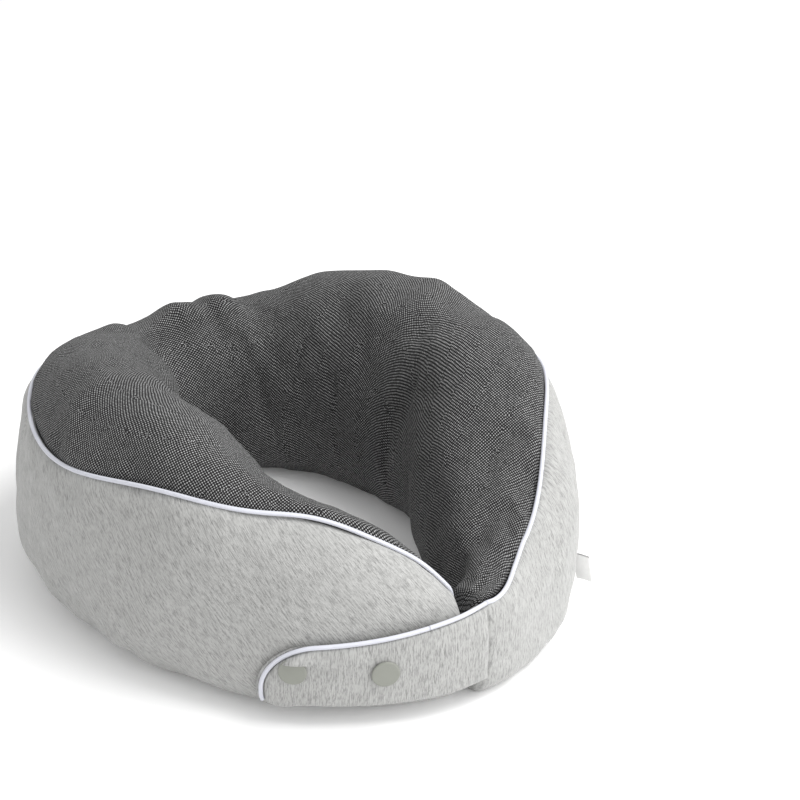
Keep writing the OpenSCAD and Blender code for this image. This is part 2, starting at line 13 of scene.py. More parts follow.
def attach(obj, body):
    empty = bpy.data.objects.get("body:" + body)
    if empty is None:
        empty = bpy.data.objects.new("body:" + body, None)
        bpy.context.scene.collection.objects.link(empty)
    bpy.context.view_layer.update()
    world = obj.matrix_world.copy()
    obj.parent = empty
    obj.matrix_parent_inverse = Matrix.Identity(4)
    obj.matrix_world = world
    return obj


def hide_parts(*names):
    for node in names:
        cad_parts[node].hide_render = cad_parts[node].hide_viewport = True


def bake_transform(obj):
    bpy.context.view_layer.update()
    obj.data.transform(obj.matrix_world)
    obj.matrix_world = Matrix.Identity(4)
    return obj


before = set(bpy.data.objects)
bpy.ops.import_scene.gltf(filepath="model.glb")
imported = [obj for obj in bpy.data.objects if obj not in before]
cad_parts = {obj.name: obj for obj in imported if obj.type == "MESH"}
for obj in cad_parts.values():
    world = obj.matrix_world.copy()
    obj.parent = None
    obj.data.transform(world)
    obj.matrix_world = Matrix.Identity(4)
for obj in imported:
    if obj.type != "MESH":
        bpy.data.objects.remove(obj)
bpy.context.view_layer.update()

MM = 0.001

# ---------------------------------------------------------------- shape of the pillow, in millimetres

HALF_WIDTH, FRONT, BACK = 141.6, 164.3, 154.3  # outer outline: half ellipses from the centre
NECK_W, NECK_D, NECK_SHIFT = 56.2, 101.4, 4.4  # neck opening: an ellipse, shifted to the front
CENTRE = np.array([-3.7, 5.9, 0.0])
WIDEST = 0.37  # share of the crest's height at which the section is widest
ROUND_EXP, BASE_EXP = 2.2, 3.0  # superellipse exponents above and below that height
BASE_CUT = 2.0  # how far the section would reach below the floor, cut flat
RIGHT_TIP, RIGHT_ROUND = -3.9, 3.0  # where each arm ends, and the angle that its rounding takes
LEFT_TIP, LEFT_ROUND = 356.05, 2.6
SEAM_AT = -1.5  # the strap's sewn seam
FABRIC = 1.2
OUTER_T, INNER_T = -72.0, 252.0  # section angles of the side cover's and the knit's lower edges
SPLIT = 100.0  # the nape pieces run from this angle to 360 less it


def cosine_terms(v):
    """Weights of the cosine series through values at equal steps from the front to the nape."""
    n = len(v) - 1
    half = [0.5 if i in (0, n) else 1.0 for i in range(n + 1)]
    return [
        half[k] * 2 / n * sum(half[j] * v[j] * math.cos(math.pi * j * k / n) for j in range(n + 1))
        for k in range(n + 1)
    ]


CREST = cosine_terms([61.1, 106.6, 129.9, 120.5, 99.1])
PIPE = cosine_terms([56.5, 100.8, 94.8, 96.8, 73.2])


def wave(terms, phi):
    return sum(w * np.cos(k * np.radians(phi)) for k, w in enumerate(terms))


def smooth(x):
    x = np.clip(x, 0, 1)
    return x * x * (3 - 2 * x)


def bump(x, at, wide):
    return np.exp(-(((x - at) / wide) ** 2))


def signed(phi):
    """The angle from -180 to 180."""
    return np.where(phi > 180, phi - 360, phi)


def outer_r(phi):
    p = np.radians(phi)
    reach = np.where(np.cos(p) > 0, FRONT, BACK)
    return 1 / np.sqrt((np.sin(p) / HALF_WIDTH) ** 2 + (np.cos(p) / reach) ** 2)


def inner_r(phi):
    p = np.radians(phi)
    a = (np.sin(p) / NECK_W) ** 2 + (np.cos(p) / NECK_D) ** 2
    b = -2 * np.cos(p) * NECK_SHIFT / NECK_D**2
    c = (NECK_SHIFT / NECK_D) ** 2 - 1
    return (-b + np.sqrt(b * b - 4 * a * c)) / (2 * a)


def wall_r(phi):
    """Neck side of the arms. The right arm leans into the opening and thins towards its tip."""
    near = np.where(phi < 180, 1, 0)
    return inner_r(phi) + near * (24 * smooth((14 - phi) / 16) - 15 * bump(phi, 30, 24))


def lift(phi):
    """The left arm's rise over the strap's end."""
    return 14.7 * bump(signed(phi), -23.2, 15.2)


def middle(phi):
    """Higher crest and lower piping half way along the left arm."""
    return 2.5 * bump(signed(phi), -52, 16)


def crown(phi):
    """Rise of the left arm just before its tip."""
    return 3.4 * bump(phi, 347, 7)


def crest(phi):
    return wave(CREST, phi) + lift(phi) + middle(phi) + crown(phi)


def seam_z(phi):
    """Height of the piping. On the right arm it comes down to the strap's top edge."""
    z = wave(PIPE, phi) + 1.163 * lift(phi) - middle(phi) + crown(phi)
    z = z - 1.6 * np.log1p(np.exp((z - 0.985 * crest(phi)) / 1.6))
    return z - 6.9 * smooth((14 - phi) / 15.5) * (1 - smooth((SEAM_AT - 0.2 - phi) / 2.4))


def tip_height(phi, t):
    """Share of the height above the widest point that is left near the arms' tips."""
    right = 0.31 * np.clip((14 - phi) / 18.3, 0, 1) ** 1.6 * smooth((t - 45) / 45)
    left = 0.3 * np.clip((phi - 346) / 10, 0, 1) ** 2.5
    return 1 - right - left


def crest_r(phi):
    share = 0.47 + 0.08 * ((1 + np.cos(np.radians(phi))) / 2) ** 2
    return inner_r(phi) + (outer_r(phi) - inner_r(phi)) * share + 10 * smooth((9 - phi) / 10)


def section(phi, t):
    c, s = np.cos(np.radians(t)), np.sin(np.radians(t))
    over = ROUND_EXP - 0.95 * smooth((22 - phi) / 20) * np.where(c < 0, 1, 0)
    e = 2 / np.where(s >= 0, over, BASE_EXP)
    mid, low = crest_r(phi), WIDEST * crest(phi)
    r = mid + np.abs(c) ** e * (np.where(c >= 0, outer_r(phi), wall_r(phi)) - mid)
    z = low + np.abs(s) ** e * np.where(s >= 0, crest(phi) - low, -low - BASE_CUT)
    return r, z


def t_of(phi, z):
    """Section angle on the outer wall at height z."""
    low = WIDEST * crest(phi)
    up = np.clip((z - low) / (crest(phi) - low), 0, 1) ** (ROUND_EXP / 2)
    down = np.clip((low - z) / (low + BASE_CUT), 0, 1) ** (BASE_EXP / 2)
    return np.degrees(np.where(z >= low, np.arcsin(up), -np.arcsin(down)))


def from_tip(phi):
    """Distance from the arm's tip, in lengths of its rounding."""
    return np.where(phi < 180, np.abs(phi - RIGHT_TIP) / RIGHT_ROUND, np.abs(phi - LEFT_TIP) / LEFT_ROUND)


def rounded(d):
    return np.where(d >= 1, 1, np.sqrt(np.clip(1 - (1 - np.minimum(d, 1)) ** 2, 1e-4, 1)))


def surf(phi, t, whole=False):
    """Point of the surface in millimetres; whole leaves the rounding of the arms' tips out."""
    r, z = section(phi, t)
    if not whole:
        low = WIDEST * crest(phi)
        f = rounded(from_tip(phi))
        r = crest_r(phi) + f * (r - crest_r(phi))
        z = low + f * (z - low) * np.where(z > low, tip_height(phi, t), 1)
    p = np.radians(phi)
    return CENTRE + np.stack([r * np.sin(p), -r * np.cos(p), z], -1)


def unit(v):
    return v / np.maximum(np.linalg.norm(v, axis=-1, keepdims=True), 1e-12)


def normal(phi, t, whole=False):
    a = surf(phi + 0.02, t, whole) - surf(phi - 0.02, t, whole)
    b = surf(phi, t + 0.5, whole) - surf(phi, t - 0.5, whole)
    return unit(np.cross(a, b))


def off(phi, t, d, whole=True):
    """Point at distance d outside the surface."""
    return surf(phi, t, whole) + np.asarray(d)[..., None] * normal(phi, t, whole)


def line_run(p):
    """Distance along a line of points, from its first."""
    return np.concatenate([[0], np.cumsum(np.linalg.norm(np.diff(p, axis=0), axis=1))])


def section_run(phi, t):
    """Distance along each row's section, from its first point."""
    r, z = section(phi, t)
    steps = np.hypot(np.diff(r, axis=1), np.diff(z, axis=1))
    return np.concatenate([np.zeros((len(r), 1)), np.cumsum(steps, 1)], 1)


def soft_noise(p, size, seed, terms=14):
    """Smooth field of about unit size at points p, from plane waves of about that wavelength."""
    rng = np.random.default_rng(seed)
    total = 0
    for _ in range(terms):
        d = rng.normal(size=p.shape[-1])
        k = 2 * np.pi / (size * rng.uniform(0.75, 1.35))
        total = total + np.cos(p @ (d / np.linalg.norm(d) * k) + rng.uniform(0, 6.3))
    return total * math.sqrt(2 / terms)


# ---------------------------------------------------------------- meshes


def mesh_object(name, verts, faces, normals=None, cloth=None):
    """Object from points in millimetres; cloth holds attributes of its points."""
    me = bpy.data.meshes.new(name)
    me.from_pydata((np.asarray(verts, float) * MM).tolist(), [], faces)
    if cloth is not None:
        for key, values in cloth.items():
            values = np.asarray(values, np.float32)
            if values.ndim == 1:
                me.attributes.new(key, "FLOAT", "POINT").data.foreach_set("value", values)
            else:
                me.attributes.new(key, "FLOAT_VECTOR", "POINT").data.foreach_set(
                    "vector", values.ravel()
                )
    me.update()
    me.polygons.foreach_set("use_smooth", [True] * len(me.polygons))
    if normals is not None:
        me.normals_split_custom_set_from_vertices(np.asarray(normals, float).tolist())
    ob = bpy.data.objects.new(name, me)
    bpy.context.collection.objects.link(ob)
    return ob


def grid_faces(m, n, closed=False, start=0, flip=False):
    """Quads of a grid of m rows of n points; closed joins each row's ends."""
    i, j = np.meshgrid(np.arange(m - 1), np.arange(n if closed else n - 1), indexing="ij")
    k = (j + 1) % n
    q = np.stack([i * n + j, i * n + k, (i + 1) * n + k, (i + 1) * n + j], -1).reshape(-1, 4) + start
    return (q[:, ::-1] if flip else q).tolist()


def grid_normals(p):
    """Normals of a grid of points, from central differences."""
    return unit(np.cross(np.gradient(p, axis=0), np.gradient(p, axis=1)))


def shell(name, outer, inner, outer_n, cloth):
    """Thin closed sheet between two grids of points."""
    m, n = outer.shape[:2]
    k = m * n
    faces = grid_faces(m, n) + grid_faces(m, n, start=k, flip=True)
    loop = (
        [(0, j) for j in range(n)]
        + [(i, n - 1) for i in range(1, m)]
        + [(m - 1, j) for j in range(n - 2, -1, -1)]
        + [(i, 0) for i in range(m - 2, 0, -1)]
    )
    ids = [i * n + j for i, j in loop]
    faces += [
        [ids[(q + 1) % len(ids)], ids[q], ids[q] + k, ids[(q + 1) % len(ids)] + k] for q in range(len(ids))
    ]
    a, b = outer[1:, :-1] - outer[:-1, :-1], outer[:-1, 1:] - outer[:-1, :-1]
    if (np.cross(b, a) * outer_n[:-1, :-1]).sum() < 0:
        faces = [q[::-1] for q in faces]
    verts = np.concatenate([outer.reshape(-1, 3), inner.reshape(-1, 3)])
    both = {key: np.concatenate([v.reshape(k, -1)] * 2).squeeze() for key, v in cloth.items()}
    normals = np.concatenate([outer_n.reshape(-1, 3), -outer_n.reshape(-1, 3)])
    return mesh_object(name, verts, faces, normals, both)


def turn_angles(sides):
    return 2 * np.pi * np.arange(sides) / sides


def tube(name, pts, ref, r, sides=14):
    """Round cord along points, with a reference direction at each and a low cap on either end."""
    m, cap = len(pts), 0.35 * r
    d = unit(np.gradient(pts, axis=0))
    a = unit(ref - d * (ref * d).sum(-1, keepdims=True))
    b = np.cross(d, a)
    ang = turn_angles(sides)
    ring = np.cos(ang)[None, :, None] * a[:, None] + np.sin(ang)[None, :, None] * b[:, None]
    grid = pts[:, None] + r * ring
    verts = np.concatenate([grid.reshape(-1, 3), pts[:1] - cap * d[:1], pts[-1:] + cap * d[-1:]])
    first, last, e = m * sides, m * sides + 1, (m - 1) * sides
    faces = grid_faces(m, sides, closed=True, flip=True)
    faces += [[first, j, (j + 1) % sides][::-1] for j in range(sides)]
    faces += [[last, e + (j + 1) % sides, e + j][::-1] for j in range(sides)]
    u = np.append(np.repeat(line_run(pts), sides) * MM, [0, 0])
    v = np.append(np.tile(ang, m) * r * MM, [0, 0])
    return mesh_object(name, verts, faces, None, {"cloth": np.stack([u, v, 0 * u], -1)})


def lathe(name, profile, place, x, y, z, sides=96):
    """Turned solid: profile points (radius, height) about z at place, the first and last on the axis."""
    ang = turn_angles(sides)
    rim = np.cos(ang)[:, None] * x + np.sin(ang)[:, None] * y
    rows = [place + z * profile[0][1]]
    for r, h in profile[1:-1]:
        rows += list(place + r * rim + z * h)
    rows.append(place + z * profile[-1][1])
    m = len(profile) - 2
    faces = [[0, 1 + (j + 1) % sides, 1 + j] for j in range(sides)]
    faces += grid_faces(m, sides, closed=True, start=1)
    last, e = len(rows) - 1, 1 + (m - 1) * sides
    faces += [[last, e + j, e + (j + 1) % sides] for j in range(sides)]
    return mesh_object(name, rows, faces)


def merged(name, parts):
    """One object from (points, faces) lists."""
    verts, faces = [], []
    for v, f in parts:
        k = len(verts)
        verts += list(v)
        faces += [[a + k for a in q] for q in f]
    return mesh_object(name, verts, faces)


# ---------------------------------------------------------------- materials


class Look:
    """Small helper for building a material's nodes."""

    def __init__(self, name, base=(0.5, 0.5, 0.5), rough=0.8, **sockets):
        self.mat = bpy.data.materials.new(name)
        self.mat.use_nodes = True
        self.tree = self.mat.node_tree
        self.bsdf = self.tree.nodes["Principled BSDF"]
        self.set("Base Color", base)
        self.set("Roughness", rough)
        for key, value in sockets.items():
            self.set(key.replace("_", " "), value)

    def put(self, socket, value):
        if isinstance(value, bpy.types.NodeSocket):
            self.tree.links.new(value, socket)
        elif isinstance(value, tuple) and len(value) == 3 and socket.type == "RGBA":
            socket.default_value = (*value, 1)
        else:
            socket.default_value = value

    def set(self, key, value):
        self.put(self.bsdf.inputs[key], value)

    def node(self, kind, out=0, props=None, **ins):
        n = self.tree.nodes.new("ShaderNode" + kind)
        for key, value in (props or {}).items():
            setattr(n, key, value)
        for key, value in ins.items():
            self.put(n.inputs[int(key[1:]) if key[0] == "i" and key[1:].isdigit() else key], value)
        return n.outputs[out]

    def math(self, op, a, b=0.0, clamp=False):
        return self.node("Math", props={"operation": op, "use_clamp": clamp}, i0=a, i1=b)

    def coords(self, key="cloth"):
        """Place on the cloth, from the mesh, in metres."""
        return self.node("Attribute", out=1, props={"attribute_name": key})

    def number(self, key):
        return self.node("Attribute", out=2, props={"attribute_name": key})

    def scaled(self, vec, x, y, z=1.0):
        return self.node("VectorMath", props={"operation": "MULTIPLY"}, i0=vec, i1=(x, y, z))

    def noise(self, vec, scale, detail=2.0, rough=0.5):
        return self.node("TexNoise", Vector=vec, Scale=scale, Detail=detail, Roughness=rough)

    def ramp(self, value, a, b, lo=0.0, hi=1.0):
        props = {"interpolation_type": "SMOOTHSTEP"}
        return self.node("MapRange", props=props, i0=value, i1=a, i2=b, i3=lo, i4=hi)

    def mix(self, f, a, b):
        return self.node("Mix", out=2, props={"data_type": "RGBA"}, i0=f, i6=a, i7=b)

    def bump(self, height, metres, strength):
        self.set("Normal", self.node("Bump", Strength=strength, Distance=metres, Height=height))


def shade(colour, by):
    return tuple(by * c for c in colour)


def knit_mesh():
    """Staggered light dots on a dark knit. Columns run across the arm. Their number changes in steps with
    the length round the ring, so that the dots keep their size."""
    k = Look("dark_knit_mesh", rough=0.9, Sheen_Weight=0.04, Sheen_Roughness=0.5, Specular_IOR_Level=0.2)
    place, cloth, length = k.coords("place"), k.coords("cloth"), k.number("ring_length")
    dot_pitch = 0.00172
    wobble = k.node(
        "VectorMath",
        props={"operation": "SCALE"},
        i0=k.node("TexNoise", out=1, Vector=place, Scale=170.0, Detail=1.0),
        Scale=0.0009,
    )
    step = math.log(1.16)
    size = k.math("MULTIPLY", k.math("LOGARITHM", length, math.e), 1 / step)
    size = k.math("FLOOR", k.math("ADD", size, k.math("MULTIPLY", k.noise(place, 420.0, 0.0), 0.3)))
    size = k.math("EXPONENT", k.math("MULTIPLY", k.math("ADD", size, 0.35), step))
    around = k.node("SeparateXYZ", i0=cloth)
    across = around.node.outputs[1]
    wx = k.node("SeparateXYZ", i0=wobble)
    wy = wx.node.outputs[1]
    turn = 2 * math.pi / dot_pitch
    cu = k.math("COSINE", k.math("MULTIPLY", k.math("ADD", k.math("MULTIPLY", around, size), wx), turn))
    cv = k.math("COSINE", k.math("MULTIPLY", k.math("ADD", across, wy), turn))
    both = k.math("MULTIPLY", cu, cv)
    uneven = k.noise(place, 900.0, 1.0)
    mask = k.math("MULTIPLY", k.ramp(both, 0.06, 0.74), k.ramp(uneven, 0.25, 0.62, 0.4, 1.0))
    tone = k.noise(place, 22.0, 2.0)
    dark = k.mix(tone, (0.009, 0.009, 0.0092), (0.016, 0.016, 0.0163))
    light = k.mix(tone, (0.34, 0.34, 0.34), (0.45, 0.45, 0.45))
    k.set("Base Color", k.mix(mask, dark, light))
    k.set("Roughness", k.ramp(mask, 0, 1, 0.95, 0.8))
    k.bump(both, 0.00022, 0.6)
    return k.mat


def jersey(name, painted_light_factor=1.0):
    """Heather jersey: slubbed fibres of two greys over a fine rib."""
    k = Look(name, rough=0.88, Sheen_Weight=0.25, Sheen_Roughness=0.45, Specular_IOR_Level=0.25)
    vec = k.coords("cloth")
    slub = k.noise(k.scaled(vec, 1250.0, 150.0), 1.0, 2.0, 0.6)
    fine = k.noise(k.scaled(vec, 3000.0, 480.0), 1.0, 2.0, 0.65)
    patch = k.noise(k.scaled(vec, 90.0, 26.0), 1.0, 2.0, 0.5)
    streak = k.math("ADD", k.math("MULTIPLY", slub, 0.55), k.math("MULTIPLY", fine, 0.45))
    # A factor above 1 lightens all three greys. This is painted light, for a copy of the jersey that lies in
    # shade.
    dark = shade((0.205, 0.205, 0.200), painted_light_factor)
    light = shade((0.425, 0.425, 0.415), painted_light_factor)
    between = shade((0.33, 0.33, 0.322), painted_light_factor)
    colour = k.mix(k.ramp(streak, 0.33, 0.60), dark, light)
    k.set("Base Color", k.mix(k.ramp(patch, 0.3, 0.7, 0.0, 0.22), colour, between))
    rib_pitch = 0.0009
    s = k.node("SeparateXYZ", i0=vec)
    rib = k.math("SINE", k.math("MULTIPLY", s, 2 * math.pi / rib_pitch))
    height = k.math("ADD", k.math("MULTIPLY", rib, 0.25), k.math("MULTIPLY", fine, 1.2))
    k.bump(height, 0.00012, 0.7)
    return k.mat


def covered_cord():
    """Piping: a cord in white cloth cut on the slant."""
    twill_pitch = 0.0007
    k = Look("white_piping", rough=0.55, Sheen_Weight=0.2, Sheen_Roughness=0.4, Specular_IOR_Level=0.4)
    vec = k.coords("cloth")
    s = k.node("SeparateXYZ", i0=vec)
    slant = k.math("ADD", s, s.node.outputs[1])
    twill = k.math("SINE", k.math("MULTIPLY", slant, 2 * math.pi / twill_pitch))
    tone = k.noise(vec, 120.0, 2.0)
    k.set("Base Color", k.mix(tone, (0.56, 0.57, 0.63), (0.66, 0.67, 0.73)))
    k.bump(twill, 0.00006, 0.5)
    return k.mat


def woven(name, colour, pitch, rough=0.85):
    """Plain weave of about that pitch in metres."""
    k = Look(name, rough=rough, Sheen_Weight=0.15, Sheen_Roughness=0.5, Specular_IOR_Level=0.3)
    vec = k.node("TexCoord", out=3)
    s = k.node("SeparateXYZ", i0=vec)
    y, z = s.node.outputs[1], s.node.outputs[2]
    w = 2 * math.pi / pitch
    a = k.math("SINE", k.math("MULTIPLY", k.math("ADD", s, y), w))
    b = k.math("SINE", k.math("MULTIPLY", z, w))
    weave = k.math("MULTIPLY", a, b)
    tone = k.noise(vec, 300.0, 3.0)
    threads = k.math("MULTIPLY", tone, k.ramp(weave, -1, 1, 0.6, 1.3), clamp=True)
    k.set("Base Color", k.mix(threads, shade(colour, 0.8), colour))
    k.bump(weave, 0.0001, 0.6)
    return k.mat


def plastic(name, colour, rough=0.42):
    k = Look(name, rough=rough, Specular_IOR_Level=0.45)
    vec = k.node("TexCoord", out=3)
    tone = k.noise(vec, 180.0, 3.0)
    grain = k.noise(vec, 3800.0, 2.0)
    k.set("Base Color", k.mix(tone, shade(colour, 0.93), shade(colour, 1.05)))
    k.set("Roughness", k.ramp(k.noise(vec, 700.0, 2.0), 0.3, 0.7, rough - 0.05, rough + 0.1))
    k.bump(grain, 0.00003, 0.35)
    return k.mat


def dark_steel():
    """Brushed dark metal, lighter where it is worn."""
    k = Look("dark_steel", rough=0.3, Metallic=1.0)
    vec = k.node("TexCoord", out=3)
    brushed = k.noise(k.scaled(vec, 300.0, 300.0, 3000.0), 1.0, 2.0)
    wear = k.noise(vec, 240.0, 3.0)
    k.set("Base Color", k.mix(k.ramp(wear, 0.35, 0.7), (0.20, 0.20, 0.21), (0.34, 0.34, 0.35)))
    k.set("Roughness", k.ramp(brushed, 0.2, 0.8, 0.24, 0.42))
    k.bump(brushed, 0.00002, 0.3)
    return k.mat


KNIT = knit_mesh()
JERSEY = jersey("heather_jersey")
# Painted light: the strap's backing, mostly in shade between the strap and the arm, gets this copy of the
# jersey made 12 % lighter.
JERSEY_BACK_PAINTED_LIGHTER = jersey("heather_jersey_back_painted_lighter", 1.12)
CORD = covered_cord()
CAP = plastic("snap_plastic", (0.235, 0.242, 0.213))
COIL = plastic("zip_nylon", (0.60, 0.60, 0.59), 0.35)
TAPE = woven("zip_tape_weave", (0.52, 0.52, 0.51), 0.0009)
WEBBING = woven("webbing_weave", (0.53, 0.53, 0.52), 0.0016)
LABEL = woven("label_weave", (0.70, 0.70, 0.69), 0.0006, 0.7)
STEEL = dark_steel()
THREAD = woven("sewing_thread", (0.66, 0.66, 0.66), 0.0005)


def dress(ob, mat):
    ob.data.materials.clear()
    ob.data.materials.append(mat)
    return ob


# ---------------------------------------------------------------- cover

STEP = 0.8
TIP_ROWS = 1 - np.cos(np.linspace(0.05, math.pi / 2, 14))  # close rows on an arm's rounding
PHIS = np.concatenate(
    [
        RIGHT_TIP + RIGHT_ROUND * TIP_ROWS,
        np.arange(RIGHT_TIP + RIGHT_ROUND + STEP, SPLIT - STEP / 2, STEP),
        np.arange(SPLIT, 360 - SPLIT + 1e-6, STEP),
        np.arange(360 - SPLIT + STEP, LEFT_TIP - LEFT_ROUND - STEP / 2, STEP),
        (LEFT_TIP - LEFT_ROUND * TIP_ROWS)[::-1],
    ]
)
RIGHT_END = int(np.argmin(np.abs(PHIS - SPLIT)))
LEFT_START = int(np.argmin(np.abs(PHIS - (360 - SPLIT))))
FADE = np.minimum(1, from_tip(PHIS))[:, None]  # relief dies out at the arms' tips
SEAM_GAP_T = 0.15  # the covers stop this far from the seam


def even_ts(phis, t_from, t_to, cols, fine=240):
    """Section angles at equal distances along the section, and those distances."""
    share = np.linspace(0, 1, fine)
    t = t_from[:, None] + (t_to - t_from)[:, None] * share
    run = section_run(phis[:, None], t)
    ts = np.array([np.interp(np.linspace(0, run[i, -1], cols), run[i], t[i]) for i in range(len(phis))])
    return ts, np.linspace(0, 1, cols) * run[:, -1:]


def outer_run(phi):
    """Distance along the outer outline at each angle, in millimetres."""
    fine = np.linspace(-6, 356, 4000)
    p = np.radians(fine)
    line = outer_r(fine)[:, None] * np.stack([np.sin(p), -np.cos(p)], -1)
    return np.interp(phi, fine, line_run(line))


def seam_dip(s):
    """Shape of the cover beside the piping, at distance s from it."""
    return -1.45 * bump(s, 0, 1.9) + 0.5 * (1 - np.exp(-s / 3.5)) * np.exp(-s / 17)


def puckers(u, s, seed):
    """Small gathers of the cloth along the piping, at place u along it and distance s from it."""
    along = soft_noise(u[..., None], 7.5, seed, 10)
    return 0.2 * along * np.exp(-s / 6.5) * (1 - np.exp(-s / 1.2))


def nape_folds(phi, t):
    """Gathers where the knit bends tightly over the crest at the nape, and hollows either side of them.

    Each bump is one fold or hollow: its height in millimetres, then its place and width round the ring (or
    across the section), in degrees. The rim is the crest's outline against what is behind it."""
    along = phi + 0.05 * (t - 80)
    shape = np.cos(2 * np.pi * (along - 166) / 12.5) + 0.2 * np.cos(2 * np.pi * along / 5.3 + 1)
    folds = 2.1 * shape * bump(along, 171, 13) - 4.2 * bump(along, 190.5, 6) - 5 * bump(phi, 153, 10)
    valley = 13 * bump(phi, 211, 15) * bump(t, 149, 25) - 6 * bump(phi, 189, 7) * bump(t, 122, 40)
    slope = bump(phi, 165, 24) * (5 * bump(t, 168, 26) - 3.5 * bump(t, 118, 18))
    rim = 0.7 * bump(phi, 97, 7) - 3.4 * bump(phi, 78, 12) - 2 * bump(phi, 108, 6) - 0.6 * bump(phi, 142, 7)
    rim = rim - 3.6 * bump(phi, 208, 9) - 1.2 * bump(phi, 222, 7) - 2.4 * bump(phi, 242, 12)
    return folds * bump(t, 92, 38) + valley + slope + (rim - 3 * bump(phi, 160, 5)) * bump(t, 82, 28)


PRESSURE, SLACK, FRAMES, MOST_MM = 4.0, 0.02, 20, 3.0


def cloth_relief():
    """Bulges and creases of the stuffed cover, from a cloth simulation of a coarse copy of the ring.

    The copy is held at its seams and at the base, and blown up by the foam's push. The result is the
    movement along the normal over (angle, share of the way across) for the side and for the top, less its
    median round the ring, so that the pillow keeps its size."""
    side_n, top_n, base_n = 12, 26, 5
    phis = np.linspace(RIGHT_TIP + 0.3, LEFT_TIP - 0.3, 170)
    seam = t_of(phis, seam_z(phis))
    low, high = np.full(len(phis), OUTER_T), np.full(len(phis), INNER_T)
    ts = np.concatenate(
        [
            even_ts(phis, low, seam, side_n + 1)[0][:, :-1],
            even_ts(phis, seam, high, top_n + 1)[0][:, :-1],
            even_ts(phis, high, low + 360, base_n + 1)[0][:, :-1],
        ],
        1,
    )
    m, n = ts.shape
    phi = np.broadcast_to(phis[:, None], ts.shape)
    rest, out = surf(phi, ts), normal(phi, ts)
    start = rest + 0.25 * soft_noise(rest, 26, 21)[..., None] * out
    ends = [start[0].mean(0), start[-1].mean(0)]
    faces = grid_faces(m, n, closed=True)
    faces += [[m * n, j, (j + 1) % n] for j in range(n)]
    faces += [[m * n + 1, (m - 1) * n + (j + 1) % n, (m - 1) * n + j] for j in range(n)]
    ob = mesh_object("cloth_copy", np.concatenate([start.reshape(-1, 3), ends]), faces)
    if ob.data.polygons[n // 2].normal.dot(Vector(out[0, n // 2])) < 0:
        ob.data.flip_normals()
    held = np.zeros((m, n), bool)
    held[:, [0, side_n]] = True
    held[:, side_n + top_n :] = True
    held[[0, -1]] = True
    group = ob.vertex_groups.new(name="held")
    group.add(np.flatnonzero(held.ravel()).tolist() + [m * n, m * n + 1], 1.0, "REPLACE")
    mod = ob.modifiers.new("cloth", "CLOTH")
    mod.settings.vertex_group_mass = "held"
    mod.settings.use_pressure = True
    mod.settings.uniform_pressure_force = PRESSURE
    mod.settings.effector_weights.gravity = 0.0
    mod.settings.shrink_min = -SLACK
    mod.settings.bending_stiffness = 0.3
    scene = bpy.context.scene
    for f in range(1, FRAMES + 1):
        scene.frame_set(f)
    made = ob.evaluated_get(bpy.context.evaluated_depsgraph_get())
    moved = np.empty(3 * (m * n + 2))
    made.data.vertices.foreach_get("co", moved)
    moved = moved.reshape(-1, 3)[: m * n].reshape(m, n, 3) / MM
    scene.frame_set(1)
    mesh = ob.data
    bpy.data.objects.remove(ob)
    bpy.data.meshes.remove(mesh)
    push = ((moved - rest) * out).sum(-1)
    push = np.clip(push - np.median(push, axis=0), -MOST_MM, MOST_MM)
    return phis, push[:, : side_n + 1], push[:, side_n : side_n + top_n + 1]


def spread(phis, field, phi, share):
    """Field over (angle, share) at other angles and shares, by linear steps."""
    i = np.interp(phi, phis, np.arange(len(phis)))
    j = np.clip(share, 0, 1) * (field.shape[1] - 1)
    i0, j0 = np.minimum(i.astype(int), len(phis) - 2), np.minimum(j.astype(int), field.shape[1] - 2)
    a, b = i - i0, j - j0
    low = field[i0, j0] * (1 - b) + field[i0, j0 + 1] * b
    high = field[i0 + 1, j0] * (1 - b) + field[i0 + 1, j0 + 1] * b
    return low * (1 - a) + high * a


def sit(p):
    """The underside is flat where it rests."""
    p[..., 2] = np.maximum(p[..., 2], 0.0)
    return p


def cover_pieces(label, ts, lift_mm, cloth, mat, slot, *nodes):
    """Three pieces of one layer: right arm, nape and left arm. They stand for the nodes of both halves."""
    phi = np.broadcast_to(PHIS[:, None], ts.shape)
    base, n = surf(phi, ts), normal(phi, ts)
    outer = sit(base + lift_mm[..., None] * n)
    inner = base + (lift_mm - FABRIC)[..., None] * n
    inner[..., 2] = np.maximum(inner[..., 2], FABRIC)
    facing = grid_normals(outer)
    facing = facing * np.sign((facing * n).sum(-1).mean())
    right, left = [f"{node}_right" for node in nodes], [f"{node}_left" for node in nodes]
    made = []
    for side, a, b, hidden in (
        ("right", 0, RIGHT_END, right),
        ("nape", RIGHT_END, LEFT_START, right + left),
        ("left", LEFT_START, len(PHIS) - 1, left),
    ):
        cut = slice(a, b + 1)
        part = {key: v[cut] for key, v in cloth.items()}
        ob = dress(shell(f"{label}_{side}", outer[cut], inner[cut], facing[cut], part), mat)
        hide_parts(*hidden)
        made.append(ob)
    settle(made)


def bends(ob):
    """Bakes a nape piece's transform into its mesh."""
    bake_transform(ob)


def settle(made):
    """The right and left pieces of one layer ride their halves; the nape piece's transform is baked into its
    mesh.
    """
    for ob, side in zip(made, ("right", "nape", "left"), strict=True):
        if side == "nape":
            bends(ob)
        else:
            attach(ob, f"{side}_half")


T_SEAM = t_of(PHIS, seam_z(PHIS))
RELIEF = cloth_relief()


def stuffed(phi, share, which):
    return 0 * share if RELIEF is None else spread(RELIEF[0], RELIEF[which], phi, share)


